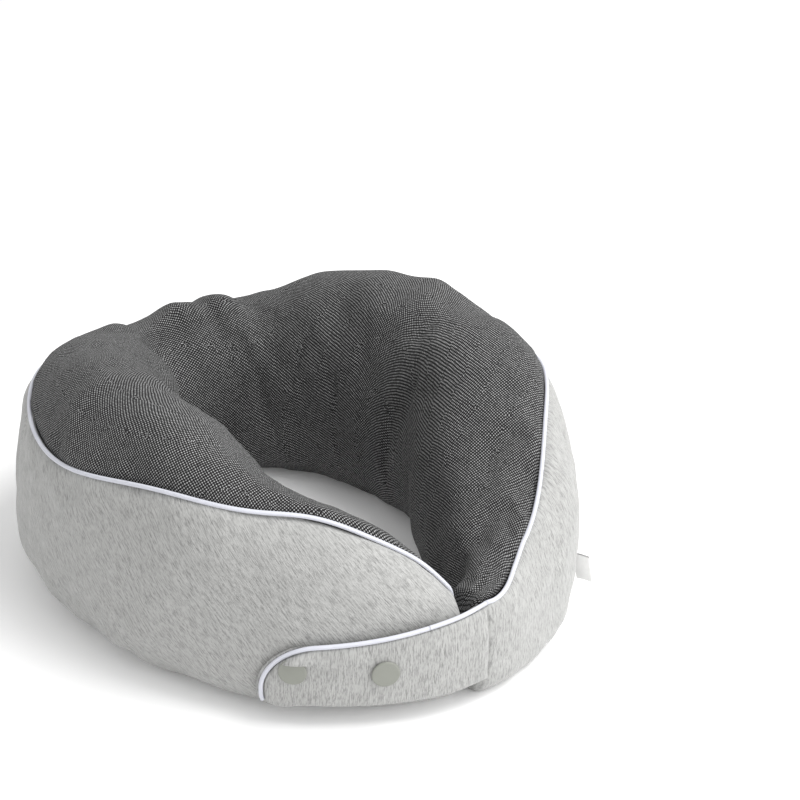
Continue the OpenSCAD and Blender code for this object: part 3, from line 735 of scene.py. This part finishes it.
# Dark knit over the crest and down the neck opening
ts, run = even_ts(PHIS, T_SEAM + SEAM_GAP_T, np.full(len(PHIS), INNER_T), 84)
phi = np.broadcast_to(PHIS[:, None], ts.shape)
place = surf(phi, ts)
top_lift = (
    seam_dip(run)
    + puckers(outer_run(phi), run, 5)
    + 0.45 * soft_noise(place, 48, 1)
    + 0.16 * soft_noise(place, 17, 2)
    + nape_folds(phi, ts)
    + stuffed(phi, run / run[:, -1:], 2)
) * FADE
around = surf(phi + 0.05, ts, True) - surf(phi - 0.05, ts, True)
ring_length = np.linalg.norm(around, axis=-1) / np.radians(0.1)
top_cloth = {
    "place": place * MM,
    "cloth": np.stack([np.radians(phi), run * MM, 0 * run], -1),
    "ring_length": ring_length * MM,
}
cover_pieces("cover_top", ts, top_lift, top_cloth, KNIT, "dark_mesh", "top_panel", "foam_core", "inner_liner")

# Where fitted parts sit: the zip's arc on the right rear, the label and the webbing loop
ZIP_Z, ZIP_R = 32.0, 146.1
ZIP_C = CENTRE + [-7.6, 10.1, 0]
ZIP_FROM, ZIP_TO = 28.0, 72.0
ZIP_SLOT = 4.75  # half the height of the gap that the tapes lie in
LABEL_AT, LABEL_Z = np.array(33.0), np.array(25.5)
HANG_AT = 108.0

# Jersey round the outside: rows at set heights near the zip, even above it
LOW_Z = np.array(
    [-1.5, -0.6, 0.2, 1.5, 3.5, 6, 9, 12.5, 16, 19, 21.5, 23.5, 25, 26.2, 27, 27.5, 27.9, 28.8, 30.4, 32]
    + [33.6, 35.2, 36.1, 36.5, 36.9, 37.7, 39]
)
EVEN_FROM, HIGH = 40.5, 24
even_rows = EVEN_FROM + (seam_z(PHIS) - EVEN_FROM)[:, None] * np.linspace(0, 1, HIGH)
z_rows = np.concatenate([np.broadcast_to(LOW_Z, (len(PHIS), len(LOW_Z))), even_rows], 1)
ts = t_of(PHIS[:, None], z_rows)
ts[:, 0] = OUTER_T
ts[:, -1] -= SEAM_GAP_T
phi = np.broadcast_to(PHIS[:, None], ts.shape)
place = surf(phi, ts)
run = section_run(phi, ts)
below = run[:, -1:] - run
zip_turn = np.degrees(np.arctan2(place[..., 1] - ZIP_C[1], place[..., 0] - ZIP_C[0]))
in_zip = smooth((zip_turn - ZIP_FROM + 0.4) / 0.8) * smooth((ZIP_TO + 0.4 - zip_turn) / 0.8)
slot_band = smooth((ZIP_SLOT - np.abs(z_rows - ZIP_Z)) / 0.5)
welt = bump(np.abs(z_rows - ZIP_Z), 6.3, 1.3)
# The simulated relief fades out at the strap, the zip, the label and the loop
free = smooth((phi - 4) / 14) * smooth((306 - phi) / 12) * (1 - in_zip * bump(z_rows, ZIP_Z, 11))
free = free * (1 - bump(phi, LABEL_AT, 6)) * (1 - 0.7 * bump(phi, HANG_AT, 8))
beside_strap = smooth((15 - phi) / 14) * smooth((phi - SEAM_AT + 1.6) / 1.4) * np.where(phi < 180, 1, 0)
side_lift = (
    seam_dip(below)
    + puckers(outer_run(phi), below, 6)
    + 0.4 * soft_noise(place, 55, 3)
    + 0.14 * soft_noise(place, 19, 4)
    + 3.2 * bump(phi, 18, 22) * smooth((22 - z_rows) / 18)
    + 3.6 * bump(phi, 238, 26) * bump(z_rows, 25, 24)
    + in_zip * (0.3 * welt - 2.9 * slot_band)
    + 2.7 * beside_strap * smooth((place[..., 2] - 2) / 9)
    - 0.7 * bump(phi, 180, 0.5) * smooth(below / 3)
    + free * stuffed(phi, run / run[:, -1:], 1)
) * FADE
# The left arm's jersey is cut on the slant
turn = math.radians(-38) * smooth((phi - 225) / 20)
u, v = outer_run(phi), run
cloth_u = u * np.cos(turn) - v * np.sin(turn)
cloth_v = u * np.sin(turn) + v * np.cos(turn)
side_cloth = {"cloth": np.stack([cloth_u, cloth_v, 0 * u], -1) * MM}
cover_pieces("cover_side", ts, side_lift, side_cloth, JERSEY, "jersey", "side_panel")

# Jersey underneath
ts = np.linspace(INNER_T + 0.4, 360 + OUTER_T - 0.4, 26)[None, :] + 0 * PHIS[:, None]
phi = np.broadcast_to(PHIS[:, None], ts.shape)
place = surf(phi, ts)
cover_pieces("cover_bottom", ts, 0 * ts, {"cloth": place * [MM, MM, 0]}, JERSEY, "jersey", "bottom_panel")

# Piping along the seam
CORD_R = 1.08


def piping(name, phis):
    """Cord on the seam. Near the strap it stands out as far as the strap does."""
    near = smooth((14 - phis) / 15.5) * np.where(phis < 180, 1, 0)
    t = t_of(phis, seam_z(phis))
    n = normal(phis, t)
    pts = surf(phis, t) + (0.15 + 1.85 * near)[:, None] * n
    return dress(tube(name, pts, n, CORD_R), CORD)


def finer(a, b, step=0.35):
    """Angles from a to b in steps of about that size."""
    return np.linspace(a, b, int(abs(b - a) / step) + 1)


right_cord = piping("piping_cord_right", finer(SEAM_AT + 0.02, SPLIT))
nape_cord = piping("piping_cord_nape", finer(SPLIT, 360 - SPLIT))
end_turn = np.linspace(math.pi / 2, 0.3, 14)
left_cord = piping(
    "piping_cord_left",
    np.concatenate(
        [finer(360 - SPLIT, LEFT_TIP - LEFT_ROUND)[:-1], LEFT_TIP - LEFT_ROUND * (1 - np.cos(end_turn))]
    ),
)
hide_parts("piping_right")
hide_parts("piping_left")
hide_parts("piping_right", "piping_left")
settle([right_cord, nape_cord, left_cord])

# ---------------------------------------------------------------- strap

STRAP_TO, TAIL = -39.9, 8.6  # the strap's end, and the angle that its rounding takes
STRAP_LOW = 12.4  # height of the lower edge
STRAP_OFF, SEAM_OFF, STRAP_T = 2.2, 0.5, 2.8  # gap to the arm, gap at the seam, thickness
EASE_TO = -9.0  # the gap is full from here on
SNAPS = ((-20.3, 30.7), (-35.1, 32.2))  # angle and height of each cap
JOIN = -13.0  # where the root and tail pieces meet
EDGE_R = 1.1  # radius of the strap's piping


def strap_lift(phi):
    """Gap between the arm's surface and the strap."""
    return SEAM_OFF + (STRAP_OFF - SEAM_OFF) * smooth((SEAM_AT - phi) / (SEAM_AT - EASE_TO))


def strap_top(phi):
    """Height of the strap's top edge."""
    share = (SEAM_AT - phi) / (SEAM_AT - STRAP_TO)
    return 51.8 - 10.8 * share - 1.6 * bump(share, 0, 0.2)


def strap_mid(phi):
    """Height at which the tail reaches furthest: below the middle near the end."""
    return (strap_top(phi) + STRAP_LOW) / 2 - 6.5 * smooth((-27 - phi) / 8)


def strap_x(phi):
    """Distance along the strap from its seam."""
    fine = np.linspace(SEAM_AT + 1, STRAP_TO - 4, 400)
    run = line_run(surf(fine, t_of(fine, 30.0), True))
    return np.interp(-phi, -fine, run) - np.interp(-SEAM_AT, -fine, run)


def strap_grid(grow_tail, grow_high, grow_low, across=46):
    """Angles and heights of a strap ply; the ply may be larger than the face at the tail and the edges."""
    body = finer(SEAM_AT, STRAP_TO + TAIL, 0.4)
    round_at = np.linspace(0, math.radians(86.5), 26)[1:]
    reach = TAIL + grow_tail
    tail_u = np.sin(round_at)
    phis = np.concatenate([body, STRAP_TO + TAIL - reach * tail_u])
    f = np.concatenate([np.ones(len(body)), np.cos(round_at)])
    f_low = np.concatenate([np.ones(len(body)), np.clip(1 - tail_u**10, 0, 1) ** (1 / 4)])
    share = smooth((-29 - phis) / 7)
    u = np.sin(np.linspace(-1, 1, across) * math.pi / 2 * 0.97) / math.sin(math.pi / 2 * 0.97)
    half_up = (strap_top(phis) - strap_mid(phis) + grow_high * (0.1 + 0.9 * share)) * f
    half_down = (strap_mid(phis) - STRAP_LOW + grow_low + 2.2 * bump(phis, -37.6, 3)) * f_low
    z = strap_mid(phis)[:, None] + np.where(u > 0, half_up[:, None] * u, half_down[:, None] * u)
    return np.broadcast_to(phis[:, None], z.shape), z


def edge_distance(phi, z):
    """Distance of each point of a ply to the ply's outline, the seam's side left out."""
    x = strap_x(phi)
    sides = (x[:, -1], z[:, -1]), (x[-1, ::-1], z[-1, ::-1]), (x[::-1, 0], z[::-1, 0])
    outline = np.concatenate([np.stack(side, -1) for side in sides])
    fine = []
    for a, b in zip(outline[:-1], outline[1:], strict=True):
        k = max(1, int(np.linalg.norm(b - a) / 0.4))
        fine += [a + (b - a) * i / k for i in range(k)]
    fine = np.array(fine)
    p = np.stack([x, z], -1).reshape(-1, 2)
    best = np.full(len(p), 1e9)
    for i in range(0, len(fine), 60):
        d = np.linalg.norm(p[:, None] - fine[None, i : i + 60], axis=2).min(1)
        best = np.minimum(best, d)
    return best.reshape(z.shape)


def round_edge(e, wide):
    """Quarter-round rise from 0 at the edge to 1 at distance wide."""
    return np.sqrt(1 - (1 - np.clip(e / wide, 0, 1)) ** 2)


def strap_relief(phi, z):
    """Creases of the face ply: pulled in round the caps, a soft fold between them, a pucker at the seam."""
    x = strap_x(phi)
    xs = [float(strap_x(np.array(s[0]))) for s in SNAPS]
    h = 0.25 * soft_noise(np.stack([x, z], -1), 22, 8)
    for at, snap in zip(xs, SNAPS, strict=True):
        h -= 0.55 * bump(np.hypot(x - at, z - snap[1]), 0, 9.5)
    between = smooth((x - xs[0] - 6) / 6) * smooth((xs[1] - 6 - x) / 6)
    line = z - 35.0 + 0.02 * (x - xs[0])
    h += between * (0.75 * bump(line, 2.4, 2.6) - 0.85 * bump(line, 0, 1.7))
    seam = bump(x, 0, 1.5)
    h -= 1.6 * seam
    h += 0.7 * bump(x, 4.5, 3.5)
    h += 0.35 * np.exp(-(x / 5.0)) * np.cos(z / 1.9) * (1 - seam)
    return h


def cap_cover(phi, z):
    """The fold of cloth that hangs over the top of the cap at the tail."""
    low = SNAPS[1][1] + 5.3
    ridge = bump(z, low, np.where(z < low, 1.5, 4.0))
    return 3.3 * bump(strap_x(phi), strap_x(np.array(SNAPS[1][0])), 9.0) * ridge


def strap_plies():
    """Outer and inner grids of the face and the backing, with the way each faces."""
    made = []
    phi, z = strap_grid(0.0, 0.0, 0.0)
    t = t_of(phi, z)
    e = edge_distance(phi, z)
    mid = strap_lift(phi) + STRAP_T / 2
    edge = round_edge(e, 2.6)
    over_cap = cap_cover(phi, z) * smooth(e / 0.8) * (1.6 - 0.6 * edge)
    h = mid + 1.4 * edge + strap_relief(phi, z) * smooth(e / 4) + over_cap
    outer = off(phi, t, h)
    inner = off(phi, t, np.maximum(h - 1.1, mid - 0.05))
    made.append(("strap_face", phi, outer, inner, 1))
    phi, z = strap_grid(1.5, 3.4, 0.5)
    t = t_of(phi, z)
    e = edge_distance(phi, z)
    mid = strap_lift(phi) + STRAP_T / 2
    h = mid - 0.45 - 0.95 * round_edge(e, 3.0)
    inner = off(phi, t, h)
    outer = off(phi, t, h + 0.85 * round_edge(e + 0.25, 2.0))
    made.append(("strap_back", phi, inner, outer, -1))
    return made


def strap_bends(root, tail):
    """Bakes the transforms of the strap's root and tail pieces into their meshes."""
    for ob in root:
        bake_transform(ob)
    for ob in tail:
        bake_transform(ob)


roots, tails = [], []
for label, phi, a, b, sign in strap_plies():
    cut = int(np.argmin(np.abs(phi[:, 0] - JOIN)))
    n = grid_normals(a)
    want = normal(phi, t_of(phi, np.full(phi.shape, 30.0)), True)
    n = n * np.sign((n * want).sum(-1).mean()) * sign
    x = strap_x(phi)
    cloth = np.stack([-x, a[..., 2], 0 * x], -1) * MM
    for part, rows in (("root", slice(0, cut + 1)), ("tail", slice(cut, None))):
        o, i, c, nn = a[rows], b[rows], cloth[rows], n[rows]
        if sign > 0:
            o, i, c, nn = o[::-1], i[::-1], c[::-1], nn[::-1]
        ob = shell(f"{label}_{part}", o, i, nn, {"cloth": c})
        # The backing ply gets the lightened jersey: painted light on a ply in shade.
        dress(ob, JERSEY if sign > 0 else JERSEY_BACK_PAINTED_LIGHTER)
        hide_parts(f"strap_{part}")
        (roots if part == "root" else tails).append(ob)


def strap_cord(name, pairs):
    """Piping round the strap; pairs of angle and height."""
    phi, z = np.array(pairs).T
    t = t_of(phi, z)
    pts = off(phi, t, strap_lift(phi) + STRAP_T / 2 + 0.25)
    return dress(tube(name, pts, normal(phi, t, True), EDGE_R), CORD)


RIM = EDGE_R + 0.25
CORD_REACH = TAIL + 0.62


def rim_point(p, up):
    """Angle and height of the piping's middle, for up from 1 at the top edge to -1 at the lower edge."""
    half = strap_top(p) - strap_mid(p) if up > 0 else strap_mid(p) - STRAP_LOW
    return p, strap_mid(p) + up * (half + RIM)


top_line = [rim_point(p, 1) for p in finer(SEAM_AT, JOIN)]
tail_line = [rim_point(p, 1) for p in finer(JOIN, STRAP_TO + TAIL)]
for q in np.linspace(0, math.pi / 2, 40)[1:]:
    tail_line.append(rim_point(STRAP_TO + TAIL - CORD_REACH * math.sin(q), math.cos(q) + 1e-9))
for q in np.linspace(0, 0.72, 18)[1:]:
    tail_line.append(rim_point(STRAP_TO + TAIL - CORD_REACH * (1 - q**4) ** (1 / 10), -q))
root_cord = strap_cord("strap_cord_root", top_line)
tail_cord = strap_cord("strap_cord_tail", tail_line)
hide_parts("strap_piping_root")
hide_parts("strap_piping_tail")
strap_bends(roots + [root_cord], tails + [tail_cord])

# Snap caps
for i, body in enumerate(("strap_near", "strap_end")):
    p, z0 = (np.array(v) for v in SNAPS[i])
    t = t_of(p, z0)
    n = normal(p, t, True)
    x = unit(surf(p + 0.02, t, True) - surf(p - 0.02, t, True))
    h = STRAP_OFF + STRAP_T
    profile = [
        (0, h - 0.4), (6.2, h - 0.4), (6.6, h + 0.1), (6.72, h + 0.45), (6.68, h + 0.75), (6.5, h + 1.0),
        (6.2, h + 1.14), (5.7, h + 1.2), (5.2, h + 1.19), (4.4, h + 1.21), (2.5, h + 1.3), (0, h + 1.33),
    ]
    cap = lathe(f"snap_button_{i + 1}", profile, surf(p, t, True), x, np.cross(n, x), n)
    dress(cap, CAP)
    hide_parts(f"snap_cap_{i + 1}")
    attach(cap, body)

# ---------------------------------------------------------------- label

LABEL_OUT, LABEL_HALF, PLY_HALF = 7.2, 7.0, 0.17  # how far it stands out, half its height, half a ply
t = t_of(LABEL_AT, LABEL_Z)
n = normal(LABEL_AT, t)
aside = unit(surf(LABEL_AT + 0.02, t) - surf(LABEL_AT - 0.02, t))
root = surf(LABEL_AT, t)
path = [(s, -0.45) for s in np.linspace(-0.6, LABEL_OUT, 14)]
path += [(LABEL_OUT + 0.45 * math.sin(q), -0.45 * math.cos(q)) for q in np.linspace(0, math.pi, 8)[1:]]
path += [(s, 0.45) for s in np.linspace(LABEL_OUT, -0.6, 14)[1:]]
path = np.array(path)
way = unit(np.gradient(path, axis=0))
side = np.stack([way[:, 1], -way[:, 0]], -1)
rows = []
for d in (PLY_HALF, -PLY_HALF):
    q = path + d * side
    q[:, 1] += 0.02 * q[:, 0] ** 2
    droop = -0.035 * np.clip(q[:, :1], 0, 9) ** 2
    for zz in np.linspace(-LABEL_HALF, LABEL_HALF, 12):
        sway = 0.25 * math.sin(zz / 3)
        away = q[:, :1] - 0.2 * zz
        across = q[:, 1:] + sway * np.clip(q[:, :1] / 7, 0, 1)
        rows.append(root + away * n + across * aside + (droop + zz) * [0, 0, 1])
outer, inner = np.array(rows[:12]), np.array(rows[12:])
label = shell("blank_label", outer, inner, grid_normals(outer), {"cloth": outer * MM})
dress(label, LABEL)
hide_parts("brand_label")
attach(label, "right_half")

# ---------------------------------------------------------------- zip

ZIP_FACE = ZIP_R - 1
COIL_TURNS, COIL_WIRE = 92, 0.24
STITCH_ROW, STITCH_STEP, STITCH_LONG = 6.4, 1.25, 0.85  # height off the zip, then degrees


def zip_point(turn, r, z):
    a = np.radians(turn)
    x, y = ZIP_C[0] + r * np.cos(a), ZIP_C[1] + r * np.sin(a)
    return np.stack([x, y, np.broadcast_to(z, np.shape(a))], -1)


SPAN = ZIP_TO - ZIP_FROM
for side, name in ((1, "upper"), (-1, "lower")):
    turns = np.linspace(ZIP_FROM + 0.03 * SPAN, ZIP_FROM + 0.97 * SPAN, 9 * COIL_TURNS)
    swing = np.linspace(0, 2 * np.pi * COIL_TURNS, len(turns))
    z = ZIP_Z + side * (1.22 + 0.58 * np.cos(swing))
    r = ZIP_FACE + 0.15 + 0.42 * np.sin(swing)
    pts = zip_point(turns, r, z)
    out = unit(zip_point(turns, r + 1, z) - zip_point(turns, r, z))
    coil = dress(tube(f"zip_teeth_{name}", pts, out, COIL_WIRE, sides=6), COIL)
    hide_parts(f"zip_coil_{name}")
    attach(coil, "right_half")


def stitch(a, b, out, r=0.22, sides=6):
    """One thread stitch from a to b, slightly arched."""
    m = 7
    s = np.linspace(0, 1, m)[:, None]
    pts = a + (b - a) * s + out * (np.sin(np.pi * s) * 0.35)
    d = unit(b - a)
    side = np.cross(d, out)
    ang = turn_angles(sides)
    rad = r * np.sqrt(np.clip(1 - (2 * s - 1) ** 4, 0.05, 1))
    ring = np.cos(ang)[None, :, None] * out + np.sin(ang)[None, :, None] * side
    grid = (pts[:, None] + rad[:, :, None] * ring).reshape(-1, 3)
    faces = grid_faces(m, sides, closed=True, flip=True)
    faces += [list(range(sides)), list(range((m - 1) * sides, m * sides))[::-1]]
    return grid, faces


stitches = []
for z in (ZIP_Z - STITCH_ROW, ZIP_Z + STITCH_ROW):
    for turn in np.arange(ZIP_FROM - 0.6, ZIP_TO + 0.6, STITCH_STEP):
        ends = []
        for a in (turn, turn + STITCH_LONG):
            x, y, _ = zip_point(a, ZIP_R, z) - CENTRE
            ray = np.array(math.degrees(math.atan2(x, -y)) % 360)
            ends.append(off(ray, t_of(ray, z), 0.35, False))
            out = normal(ray, t_of(ray, z))
        stitches.append(stitch(ends[0], ends[1], out))
thread = dress(merged("zip_stitches", stitches), THREAD)
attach(thread, "right_half")

# ---------------------------------------------------------------- hanging parts

LOOP_LONG, LOOP_R, LOOP_HALF, WEB_HALF = 14.6, 2.0, 6.75, 0.55  # length, bend, half width, half a ply
HANG_R = float(outer_r(np.array(HANG_AT))) + 10
turn = math.radians(HANG_AT - 90)
HX, HY = np.array([math.cos(turn), math.sin(turn), 0]), np.array([-math.sin(turn), math.cos(turn), 0])
BAR = CENTRE + HANG_R * HX + [0, 0, 86.0]
path = [(x, LOOP_R) for x in np.linspace(-LOOP_LONG, 0, 16)]
path += [(LOOP_R * math.sin(q), LOOP_R * math.cos(q)) for q in np.linspace(0, math.pi, 18)[1:]]
path += [(x, -LOOP_R) for x in np.linspace(0, -LOOP_LONG, 16)[1:]]
path = np.array(path)
pinch = smooth((-path[:, 0] - 3) / 6)
path[:, 1] *= 1 - 0.55 * pinch
way = unit(np.gradient(path, axis=0))
side = np.stack([-way[:, 1], way[:, 0]], -1)
grids = []
for d in (WEB_HALF, -WEB_HALF):
    q = path + d * side
    rows = []
    for y in np.linspace(-LOOP_HALF, LOOP_HALF, 28):
        rib = 0.08 * math.sin(y * 2 * math.pi / 1.9) * (1 if d > 0 else -1)
        edge = 0.12 * smooth((abs(y) - 6.0) / 0.75) * (-1 if d > 0 else 1)
        qq = q + (rib + edge) * side
        rows.append(BAR + qq[:, :1] * HX + y * HY + qq[:, 1:] * np.array([0, 0, 1]))
    grids.append(np.array(rows))
loop_n = grid_normals(grids[0])
loop = shell("webbing_strap", grids[0], grids[1], loop_n, {"cloth": grids[0] * MM})
dress(loop, WEBBING)
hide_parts("webbing_loop")
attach(loop, "right_half")

# CAD nodes that stay, with their finished materials
for mat, names in (
    (TAPE, ("zip_tape_upper", "zip_tape_lower")),
    (STEEL, ("zip_stop_start", "zip_stop_end", "zip_slider", "zip_pull", "d_ring", "swivel_eye")),
    (STEEL, ("hook_body", "hook_gate", "gate_pin")),
    (CAP, ("snap_socket_1", "snap_socket_2", "snap_stud_1", "snap_stud_2")),
):
    for name in names:
        for material_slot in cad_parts[name].material_slots:
            material_slot.material = mat

# ---------------------------------------------------------------- stage, light and camera

WIDE = 4e4
corners = [(-WIDE, -WIDE, 0), (WIDE, -WIDE, 0), (WIDE, WIDE, 0), (-WIDE, WIDE, 0)]
ground = mesh_object("floor", corners, [[0, 1, 2, 3]])
ground.location.z = -0.0002
look = Look("pale_floor", (0.95, 0.95, 0.95), 0.9, Specular_IOR_Level=0.1)
look.set("Emission Color", (1.0, 1.0, 1.0))
look.set("Emission Strength", 0.08)  # painted light: the floor glows a little, which keeps it near white and lightens the shadows on it, also in the neck opening
tone = look.noise(look.node("TexCoord", out=3), 3.0)
look.set("Base Color", look.mix(tone, (0.94, 0.94, 0.94), (0.96, 0.96, 0.96)))
ground.data.materials.append(look.mat)

scene = bpy.context.scene
scene.view_settings.view_transform = "Standard"
world = bpy.data.worlds.new("studio")
scene.world = world
world.use_nodes = True
sky = world.node_tree.nodes["Background"]
sky.inputs["Color"].default_value = (1.0, 1.0, 1.0, 1)
sky.inputs["Strength"].default_value = 0.75


def area(name, place, size, power):
    data = bpy.data.lights.new(name, "AREA")
    data.shape = "RECTANGLE"
    data.size, data.size_y = size
    data.energy = power
    ob = bpy.data.objects.new(name, data)
    bpy.context.collection.objects.link(ob)
    ob.location = place
    ob.rotation_mode = "QUATERNION"
    ob.rotation_quaternion = (Vector((0, 0, 0.05)) - Vector(place)).to_track_quat("-Z", "Y")


area("key", (0.6, -1.6, 1.0), (1.8, 1.5), 17.5)
area("top", (0.5, -0.5, 1.4), (1.0, 0.8), 18)

cam_data = bpy.data.cameras.new("camera")
cam = bpy.data.objects.new("camera", cam_data)
bpy.context.collection.objects.link(cam)
azimuth, elevation, roll = math.radians(-38.925), math.radians(25.951), math.radians(1.789)
DISTANCE = 0.90343
cam_data.lens = 77.34
cam_data.sensor_width = 36
back = Vector(
    (math.sin(azimuth) * math.cos(elevation), -math.cos(azimuth) * math.cos(elevation), math.sin(elevation))
)
aim = Vector((0.04045, -0.02719, 0.09263))
cam.location = aim + back * DISTANCE
right = Vector((0, 0, 1)).cross(back).normalized()
up_axis = back.cross(right)
right, up_axis = (
    math.cos(roll) * right + math.sin(roll) * up_axis,
    -math.sin(roll) * right + math.cos(roll) * up_axis,
)
cam.rotation_mode = "QUATERNION"
cam.rotation_quaternion = Matrix((right, up_axis, back)).transposed().to_quaternion()
scene.camera = cam
